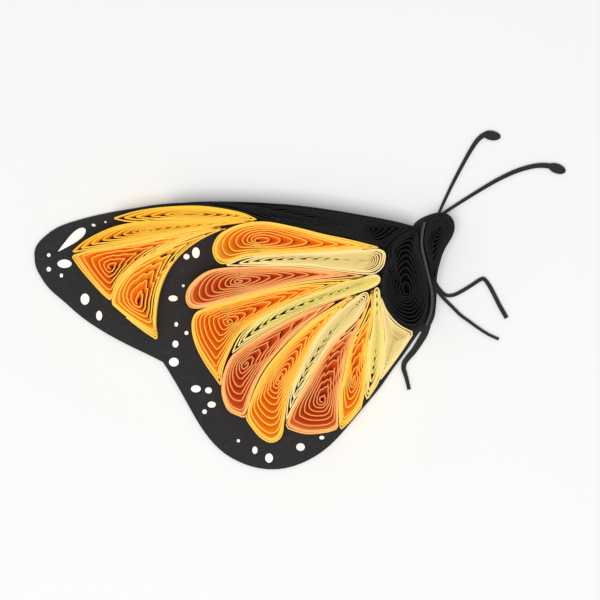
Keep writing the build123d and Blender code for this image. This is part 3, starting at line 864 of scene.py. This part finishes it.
@dataclass(frozen=True)
class Spot:
    """A spot printed on the card's margin, with its middle and its half sizes in millimetres.

    Attributes:
        turn: How far it is turned, in degrees.
        point: How far one end is drawn to a point.
        corners: Corners of its outline.
    """

    x: float
    y: float
    half_length: float
    half_width: float
    turn: float = 0.0
    point: float = 0.0
    corners: int = 28

    def draw(self, height: float) -> bpy.types.Object:
        """Draw the spot as a flat disc.

        Args:
            height: Height of the card's face, in millimetres.

        Returns:
            The disc.
        """
        bpy.ops.mesh.primitive_circle_add(vertices=self.corners, radius=1.0, fill_type="NGON")
        disc = bpy.context.object
        for vertex in disc.data.vertices:
            x, y, _ = vertex.co
            taper = 1.0 - self.point * 0.5 * (1.0 + x)
            vertex.co = Vector((x * self.half_length, y * self.half_width * taper, 0.0))
            vertex.co.rotate(Euler((0.0, 0.0, math.radians(self.turn))))
            vertex.co = (vertex.co + Vector((self.x, self.y, height))) * MM
        return disc


SPOTS = [
    Spot(-42.3, 4.7, 2.25, 0.88, turn=-140.0, point=0.85),
    Spot(-43.2, 1.7, 0.90, 0.53),
    Spot(-45.2, 2.8, 0.23, 0.23),
    Spot(-45.2, 1.0, 0.29, 0.29),
    Spot(-43.6, 0.2, 0.20, 0.25),
    Spot(-39.5, 6.6, 0.24, 0.17, turn=-20.0),
    Spot(-38.0, 7.0, 0.14, 0.11),
    Spot(-40.6, -2.8, 0.55, 0.71),
    Spot(-38.8, -4.9, 0.38, 0.61),
    Spot(-26.5, 3.1, 0.48, 0.68),
    Spot(-27.7, 2.6, 0.38, 0.35),
    Spot(-28.1, -1.1, 0.17, 0.17),
    Spot(-29.4, -2.7, 0.58, 0.37),
    Spot(-29.0, -6.0, 0.23, 0.29),
    Spot(-27.7, -7.1, 0.25, 0.25),
    Spot(-29.1, -8.5, 0.38, 0.44),
    Spot(-29.3, -10.8, 0.62, 0.55),
    Spot(-26.5, -14.2, 0.62, 0.45),
    Spot(-24.9, -14.4, 0.43, 0.39),
    Spot(-24.5, -16.2, 0.52, 0.39),
    Spot(-25.4, -17.1, 0.29, 0.29),
    Spot(-21.1, -20.8, 0.20, 0.20),
    Spot(-19.0, -22.0, 0.33, 0.47),
    Spot(-17.2, -23.0, 0.49, 0.59),
    Spot(-13.2, -21.6, 0.54, 0.48),
    Spot(-10.5, -20.4, 0.31, 0.23),
]


# Pieces


@dataclass
class Strip:
    """A strip of paper on edge.

    Attributes:
        name: The piece's name.
        paper: What it is cut from.
        foot: Height of its lower edge, in millimetres.
        path: Course of its upper edge, in millimetres.
        top: Height of the upper edge at each point.
        body: Thickness at each point.
        lean: Way from the upper edge to the lower one at each point.
        thickness: Thickness of the paper where nothing presses it.
        turns: Turns that it is rolled to.
        smooth_angle: Greatest angle between faces that look smooth, in degrees.
    """

    name: str
    paper: Paper
    foot: float
    path: list[complex] = field(default_factory=list)
    top: list[float] = field(default_factory=list)
    body: list[float] = field(default_factory=list)
    lean: list[complex] = field(default_factory=list)
    thickness: float = 0.15
    turns: int = 1
    smooth_angle: float = 40.0

    def build(self, *replaced: str) -> bpy.types.Object:
        """Bend a flat grid along the path and give it its thickness.

        Args:
            *replaced: The frame's nodes that the strip stands for.

        Returns:
            The finished strip.
        """
        bpy.ops.object.select_all(action="DESELECT")
        spans = len(self.path) - 1
        bpy.ops.mesh.primitive_grid_add(x_subdivisions=spans, y_subdivisions=1, size=1.0)
        made = bpy.context.object
        made.name = self.name
        made.data.name = self.name
        group = made.vertex_groups.new(name="thickness")
        for vertex in made.data.vertices:
            i = round((vertex.co.x + 0.5) * spans)
            q, z = self.path[i], self.top[i]
            if vertex.co.y < 0:
                q, z = q + self.lean[i], self.foot
            vertex.co = Vector((q.real * MM, q.imag * MM, z * MM))
            group.add([vertex.index], self.body[i] / self.thickness, "REPLACE")
        made.data.materials.append(self.paper.value.face(self.turns))
        made.data.materials.append(self.paper.value.edge(self.turns))
        solid = made.modifiers.new("paper", "SOLIDIFY")
        solid.thickness = self.thickness * MM
        solid.offset = -1.0
        solid.vertex_group = "thickness"
        solid.thickness_vertex_group = 0.0
        solid.material_offset_rim = 1
        bpy.ops.object.modifier_apply(modifier="paper")
        bpy.ops.object.shade_smooth_by_angle(angle=math.radians(self.smooth_angle))
        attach(made, BODY)
        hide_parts(*replaced)
        return made


class Crease:
    """The part of an outline between the eye and the tip, where the strip is folded back.

    Attributes:
        STEPS: How many places between tip and eye are measured.
        LEAST: Least width of a turn, as a share of the room at its place.
        ONSET: Share of its size that a turn gives up until its fold is fully round.
        BLEND: Share of the way from the eye on which a turn runs over into its fold.
    """

    STEPS = 60
    LEAST = 0.25
    ONSET = 0.1
    BLEND = 0.3

    def __init__(self, offsets: list[complex]) -> None:
        """Measure the outline.

        Args:
            offsets: Its points, seen from the eye, with the tip first and ahead.
        """
        self.turning = next(i for i, v in enumerate(offsets) if v.real < 0.0)
        halves = (offsets[:self.turning], offsets[self.turning:] + offsets[:1])
        self.sides = [sorted((v for v in half if v.real > 0.0), key=lambda v: v.real)
                      for half in halves]
        self.reach = offsets[0].real
        self.stations = [self.reach * (1.0 - k / self.STEPS) for k in range(self.STEPS + 1)]
        self.fits = [0.0]
        for along in self.stations[1:]:
            self.fits.append(max(self.fits[-1] + TINY, self.middle_and_half(along)[1]))
        self.middle, self.half = self.middle_and_half(0.0)

    def middle_and_half(self, along: float) -> Pair:
        """Measure the outline across.

        Args:
            along: Distance from the eye towards the tip.

        Returns:
            Where the middle lies beside the crease, and half of the width.
        """
        edges = []
        for side in self.sides:
            i = min(max(bisect_right(side, along, key=lambda v: v.real), 1), len(side) - 1)
            a, b = side[i - 1], side[i]
            share = clamp((along - a.real) / max(b.real - a.real, TINY))
            edges.append(a.imag + share * (b.imag - a.imag))
        return (edges[0] + edges[1]) / 2.0, (edges[0] - edges[1]) / 2.0

    def nose(self, need: float) -> float:
        """Find how far a turn gets before its two sides meet.

        Args:
            need: Half of the width that the turns outside it take up.

        Returns:
            Distance from the eye.
        """
        i = min(max(bisect_right(self.fits, need), 1), len(self.fits) - 1)
        share = clamp((need - self.fits[i - 1]) / (self.fits[i] - self.fits[i - 1]))
        return self.stations[i - 1] + share * (self.stations[i] - self.stations[i - 1])

    def lay(self, index: int, offset: complex, reach: float, scale: float, spread: float,
            blunt: float) -> complex:
        """Place a point of a turn between the eye and the tip.

        Args:
            index: The point's place in its turn.
            offset: The point on the outermost turn.
            reach: How far that turn would get.
            scale: Size of the turn along the crease.
            spread: Size of the turn beside the eye.
            blunt: How far its fold stays back.

        Returns:
            The point's place, seen from the eye.
        """
        share = min(offset.real / reach, 1.0)
        along = share * self.nose((1.0 - spread) * self.half) * (1.0 - blunt * (1.0 - scale))
        middle, half = self.middle_and_half(along)
        half_width = max(half - (1.0 - spread) * self.half, self.LEAST * spread * half)
        onset = min((1.0 - scale) / self.ONSET, 1.0)
        half_width *= 1.0 - onset * (1.0 - math.sqrt(1.0 - share ** 4))
        side = 1.0 if index < self.turning else -1.0
        folded = complex(along, middle - (1.0 - spread) * self.middle + side * half_width)
        part = eased(min(share / self.BLEND, 1.0))
        return part * folded + (1.0 - part) * complex(scale * offset.real, spread * offset.imag)


class Wander:
    """A hand's slow wander along a strip: a few waves, each begun at random."""

    def __init__(self, hand: random.Random, rates: tuple[float, ...]) -> None:
        """Draw where each wave begins; its rate is its number of waves in a turn."""
        self.waves = [(rate, hand.uniform(0.0, math.tau)) for rate in rates]

    def at(self, turn: float) -> float:
        """Give the wander, from -1 to 1, after a number of turns."""
        total = sum(math.sin(rate * math.tau * turn + begun) for rate, begun in self.waves)
        return total / len(self.waves)


@dataclass
class Roller:
    """Rolls a coil: works out where its strip runs.

    Attributes:
        foot: Height of the card's face, in millimetres.
        height: Height of the strip.
        gap: Half of the hairline between two coils.
        eye_share: Size of the open eye as a share of the outline.
        step_share: Part of the first turn over which the strip steps in by one layer.
        waves: Waves in a turn of the strip's uneven lie.
        swells: Waves in a turn of its uneven upper edge.
        unevenness: How far that edge wanders, in millimetres.
        pressed_share: Most of the room between two turns that the paper fills.
        lean_share: Most of the free room that a leaning foot takes up.
        clearance: Room that a leaning strip keeps for itself, as a share of its thickness.
        softening: How fast the turns leave the outline's corners as they get smaller.
        corner_reach: Points on each side over which such a corner is rounded.
        corner_rounds: How often it is.
        depth_reach: Points on each side among which the nearest stretch is sought.
        depth_blur: Points on each side over which the depth is evened out.
    """

    foot: float
    height: float
    gap: float = 0.005
    eye_share: float = 0.06
    step_share: float = 0.3
    waves: tuple[float, ...] = (0.31, 0.73, 1.37, 2.9)
    swells: tuple[float, ...] = (0.47, 1.9, 3.3)
    unevenness: float = 0.035
    pressed_share: float = 0.92
    lean_share: float = 0.92
    clearance: float = 1.2
    softening: float = 1.5
    corner_reach: int = 11
    corner_rounds: int = 2
    depth_reach: int = 3
    depth_blur: int = 2

    def strip(self, name: str, coil: Coil) -> Strip:
        """Roll one coil.

        Args:
            name: The piece's name.
            coil: The coil to roll.

        Returns:
            The strip, not yet built.
        """
        hand = random.Random(name)
        strip = Strip(name, coil.paper, foot=self.foot, turns=coil.turns)
        loop = inset(ring(coil.runs), self.gap)
        # The loop begins at its tip, farthest from the eye, and is seen from the eye with the
        # tip ahead. The strip begins where the outline is nearest to the eye.
        start = max(range(len(loop)), key=lambda i: abs(loop[i] - complex(*coil.eye)))
        loop = loop[start:] + loop[:start]
        line = FoldLine(coil.spine)
        eye = complex(*line.locate(complex(*coil.eye)))
        offsets = [complex(*line.locate(q)) - eye for q in loop]
        facing = math.copysign(1.0, offsets[0].real)
        offsets = [facing * v for v in offsets]
        count = len(loop)
        first = min(range(count), key=lambda i: abs(offsets[i]))
        core = abs(offsets[first])
        depths = self._depths(offsets)
        soft = self._softened(offsets, core)
        lay = coil.shape.value
        crease = Crease(offsets) if lay.blunt else None
        pitch = (1.0 - self.eye_share) / (coil.turns - lay.tight)
        solid = strip.thickness / self.pressed_share
        wave, swell = Wander(hand, self.waves), Wander(hand, self.swells)
        for i in range(count * coil.turns + 1):
            turn, k = i / count, (first + i) % count
            ease = clamp(turn - lay.tight + 1.0)
            layers = self._layers(turn)
            rim = 1.0 - min(layers, lay.tight) * min(solid / depths[k], 1.0 / coil.turns)
            loose = max(layers - lay.tight, 0.0) + ease * lay.looseness * wave.at(turn)
            scale = 1.0 - pitch * loose
            sprung = lay.roundness * (1.0 - scale) ** 2
            bend = min(self.softening * (1.0 - scale), 1.0)
            offset = (1.0 - bend) * offsets[k] + bend * soft[k]
            scale *= rim
            offset = scale * ((1.0 - sprung) * offset + sprung * core * offset / abs(offset))
            spread = 1.0 + lay.press * (1.0 - scale)
            if crease and offset.real > 0.0:
                reach = (1.0 - sprung) * crease.reach + sprung * core
                offset = crease.lay(k, offset / scale, reach, scale, spread * scale, lay.blunt)
            else:
                offset = complex(offset.real, offset.imag * spread)
            spot = eye + facing * offset
            strip.path.append(line.place(spot.real, spot.imag))
            strip.top.append(self.foot + self.height + ease * self.unevenness * swell.at(turn))
        strip.body = [min(strip.thickness, self.pressed_share * room)
                      for room in self._rooms(strip.path, count)]
        strip.lean = self._leans(strip, count, lay.lean)
        return strip

    def _softened(self, offsets: list[complex], core: float) -> list[complex]:
        """Round the corners of the outline away from the tip, as paper bends round them.

        Args:
            offsets: The outline's points, seen from the eye, with the tip ahead.
            core: Distance from the eye to the nearest side.

        Returns:
            The rounded outline.
        """
        soft = offsets
        for _ in range(self.corner_rounds):
            soft = blurred(soft, self.corner_reach)
        return [v + clamp(1.0 - v.real / core) * (s - v) for v, s in zip(offsets, soft)]

    def _depths(self, offsets: list[complex]) -> list[float]:
        """Measure how far the eye lies from the outline's sides.

        Args:
            offsets: The outline's points, seen from the eye.

        Returns:
            Distance from the eye to the nearest side at each point, in millimetres.
        """
        count = len(offsets)
        clear = [abs((v.conjugate() * (after - v)).imag) / abs(after - v)
                 for v, after in around(offsets)]
        near = range(-self.depth_reach, self.depth_reach)
        least = [min(clear[(i + k) % count] for k in near) for i in range(count)]
        return blurred(least, self.depth_blur)

    def _leans(self, strip: Strip, count: int, most: float) -> list[complex]:
        """Let the foot of each turn lean inwards, into the room that the strip leaves free.

        Args:
            strip: The strip with its path and thickness.
            count: Points in one turn.
            most: The largest lean.

        Returns:
            How far the foot lies from the upper edge at each point.
        """
        leans = []
        last = len(strip.path) - 1
        for i, q in enumerate(strip.path):
            across = strip.path[min(i + count, last)] - q
            free = max(abs(across) - self.clearance * strip.body[i], 0.0)
            ends = min(1.0, max(i / count - 1.0, 0.0), (last - i) / count)
            lean = ends * min(most, self.lean_share * free)
            leans.append(lean * across / max(abs(across), TINY))
        return leans

    def _layers(self, turn: float) -> float:
        """Count the layers after a number of turns; the first turn steps in at its end only."""
        step = max(turn - 1.0 + self.step_share, 0.0) / self.step_share
        return turn if turn > 1.0 else eased(step)

    @staticmethod
    def _rooms(path: list[complex], count: int) -> list[float]:
        """Measure how far each point of a rolled strip is from the neighbouring turn.

        Args:
            path: The strip's points.
            count: Points in one turn.

        Returns:
            The room between turns at each point, in millimetres.
        """
        rooms = []
        last = len(path) - 1
        for i, q in enumerate(path):
            across = path[i + count if i + count <= last else i - count] - q
            ahead = path[min(i + 1, last)] - path[min(i, last - 1)]
            behind = path[max(i, 1)] - path[max(i - 1, 0)]
            ahead, behind = (v / max(abs(v), TINY) for v in (ahead, behind))
            clear = max(abs((across.conjugate() * side).imag) for side in (ahead, behind))
            # 0 where the strip runs straight on, 1 where it is folded back on itself
            fold = 0.5 - 0.5 * (ahead.conjugate() * behind).real
            rooms.append(max(clear, fold * abs(across)))
        return rooms


@dataclass
class Divider:
    """The thick strip on edge between thorax and head.

    Attributes:
        foot: Height of the card's face, in millimetres.
        top: Height of the strip's upper edge.
        thickness: Thickness of the strip.
        steps: How many pieces each span of its course is divided into.
    """

    foot: float
    top: float
    thickness: float = 0.3
    steps: int = 8

    def strip(self) -> Strip:
        """Lay the strip along its course, with half of its thickness on either side.

        Returns:
            The strip, not yet built.
        """
        # The strip's grey is painted highlight on black paper.
        strip = Strip("body_divider_strip", Paper.GREY_PAINTED_HIGHLIGHT, foot=self.foot, thickness=self.thickness)
        line = smooth(DIVIDER, self.steps)
        ways = [b - a for a, b in zip(line, line[1:])]
        shift = 1j * self.thickness / 2
        strip.path = [q - shift * way / abs(way) for q, way in zip(line, ways + ways[-1:])]
        count = len(line)
        strip.top, strip.body = [self.top] * count, [self.thickness] * count
        strip.lean = [0j] * count
        return strip


@dataclass
class Card:
    """The die-cut card and the white spots printed on its margin.

    Attributes:
        face: Height of its face, in millimetres.
        ink: Thickness of the print.
        finish: The card's finish.
        ink_finish: The print's finish.
    """

    face: float
    ink: float = 0.012
    finish: CardFinish = CardFinish()
    ink_finish: PrintFinish = PrintFinish()

    def dress(self, node: bpy.types.Object) -> None:
        """Give the card's node its finish."""
        node.data.materials.clear()
        node.data.materials.append(self.finish.material())

    def print_spots(self, name: str) -> bpy.types.Object:
        """Print the spots as one thin piece of ink.

        Args:
            name: The piece's name.

        Returns:
            The finished piece.
        """
        bpy.ops.object.select_all(action="DESELECT")
        discs = [spot.draw(self.face) for spot in SPOTS]
        for disc in discs:
            disc.select_set(True)
        bpy.context.view_layer.objects.active = discs[0]
        bpy.ops.object.join()
        print_piece = bpy.context.object
        print_piece.name = name
        bpy.ops.object.mode_set(mode="EDIT")
        bpy.ops.mesh.select_all(action="SELECT")
        bpy.ops.mesh.extrude_region_move(
            TRANSFORM_OT_translate={"value": (0.0, 0.0, self.ink * MM)})
        bpy.ops.mesh.select_all(action="SELECT")
        bpy.ops.mesh.normals_make_consistent(inside=False)
        bpy.ops.object.mode_set(mode="OBJECT")
        print_piece.data.materials.append(self.ink_finish.material())
        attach(print_piece, BODY)
        return print_piece


@dataclass(frozen=True)
class Lamp:
    """A square area lamp that faces the object.

    Attributes:
        offset: Its place from the middle of the object, in metres.
        size: Its side, in metres.
        power: Its power, in watts.
    """

    name: str
    offset: tuple[float, float, float]
    size: float
    power: float

    def hang(self, middle: Vector) -> None:
        """Hang the lamp.

        Args:
            middle: Middle of the object.
        """
        light = bpy.data.lights.new(self.name, "AREA")
        light.size = self.size
        light.energy = self.power
        lamp = bpy.data.objects.new(self.name, light)
        offset = Vector(self.offset)
        lamp.location = middle + offset
        lamp.rotation_euler = (-offset).to_track_quat("-Z", "Y").to_euler()
        bpy.context.scene.collection.objects.link(lamp)


@dataclass
class Studio:
    """Pale floor, soft light and a camera straight above, as in the photograph.

    Attributes:
        middle: Middle of the object.
        span: Width of the picture on the floor, in metres.
        sky: Strength of the sky's white light.
        focal: Focal length of the camera, in millimetres.
        sensor: Width of its sensor.
        nearest: Least distance at which it sees, in metres.
    """

    middle: Vector
    span: float
    floor_size: float = 4.0
    floor_colour: Colour = (221, 222, 221)
    floor_roughness: float = 0.9
    floor_specular: float = 0.1
    sky: float = 0.57
    lamps: tuple[Lamp, ...] = (Lamp("key", (-0.045, -0.13, 0.48), size=0.32, power=1.95),
                               Lamp("fill", (0.35, 0.25, 0.5), size=0.5, power=0.5))
    focal: float = 200.0
    sensor: float = 36.0
    nearest: float = 0.01

    def build(self) -> None:
        """Set the floor, the lights, the camera and the view."""
        self._floor()
        self._lights()
        self._camera()
        bpy.context.scene.view_settings.view_transform = "Standard"

    def _floor(self) -> None:
        """Lay the pale floor."""
        bpy.ops.object.select_all(action="DESELECT")
        bpy.ops.mesh.primitive_plane_add(size=self.floor_size)
        floor = bpy.context.object
        floor.name = "floor"
        shader = Shader("floor")
        plain = shader.node("ShaderNodeBsdfPrincipled", None, Base_Color=rgba(self.floor_colour),
                            Roughness=self.floor_roughness, Specular_IOR_Level=self.floor_specular)
        shader.node("ShaderNodeOutputMaterial", None, plain)
        floor.data.materials.append(shader.material)

    def _lights(self) -> None:
        """Hang the lamps and fill the rest with the sky."""
        world = bpy.data.worlds.new("sky")
        world.use_nodes = True
        inputs = world.node_tree.nodes["Background"].inputs
        inputs["Color"].default_value = (1.0, 1.0, 1.0, 1.0)
        inputs["Strength"].default_value = self.sky
        bpy.context.scene.world = world
        for lamp in self.lamps:
            lamp.hang(self.middle)

    def _camera(self) -> None:
        """Look straight down, with the whole butterfly in the frame."""
        lens = bpy.data.cameras.new("camera")
        lens.lens = self.focal
        lens.sensor_width = self.sensor
        lens.sensor_fit = "HORIZONTAL"
        lens.clip_start = self.nearest
        camera = bpy.data.objects.new("camera", lens)
        distance = self.span * self.focal / self.sensor
        camera.location = (self.middle.x, self.middle.y, distance)
        bpy.context.scene.collection.objects.link(camera)
        bpy.context.scene.camera = camera


def report(piece: bpy.types.Object) -> None:
    """Say that a piece is built."""
    LOG.info("%s: %d faces", piece.name, len(piece.data.polygons))


def main() -> None:
    """Build the butterfly round the frame and set the studio."""
    logging.basicConfig(level=logging.INFO, format="%(message)s")
    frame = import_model()
    low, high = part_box("wing_backing")
    coil_low, coil_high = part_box("thorax_coil")
    stretch = ((high.x - low.x) / MM / DRAWN_SIZE[0], (high.y - low.y) / MM / DRAWN_SIZE[1])
    face = coil_low.z / MM
    roller = Roller(foot=face, height=(coil_high.z - coil_low.z) / MM)
    card = Card(face)
    card.dress(frame["nodes"]["wing_backing"])
    report(card.print_spots("wing_spots"))
    for name, coil in COILS.items():
        report(roller.strip(f"{name}_strip", coil.fitted(stretch)).build(name))
    report(Divider(face, coil_high.z / MM).strip().build("body_divider"))
    middle = Vector(((low.x + high.x) / 2, (low.y + high.y) / 2, 0.0))
    Studio(middle, PICTURE_SHARE * (high.x - low.x)).build()


if __name__ == "__main__":
    main()
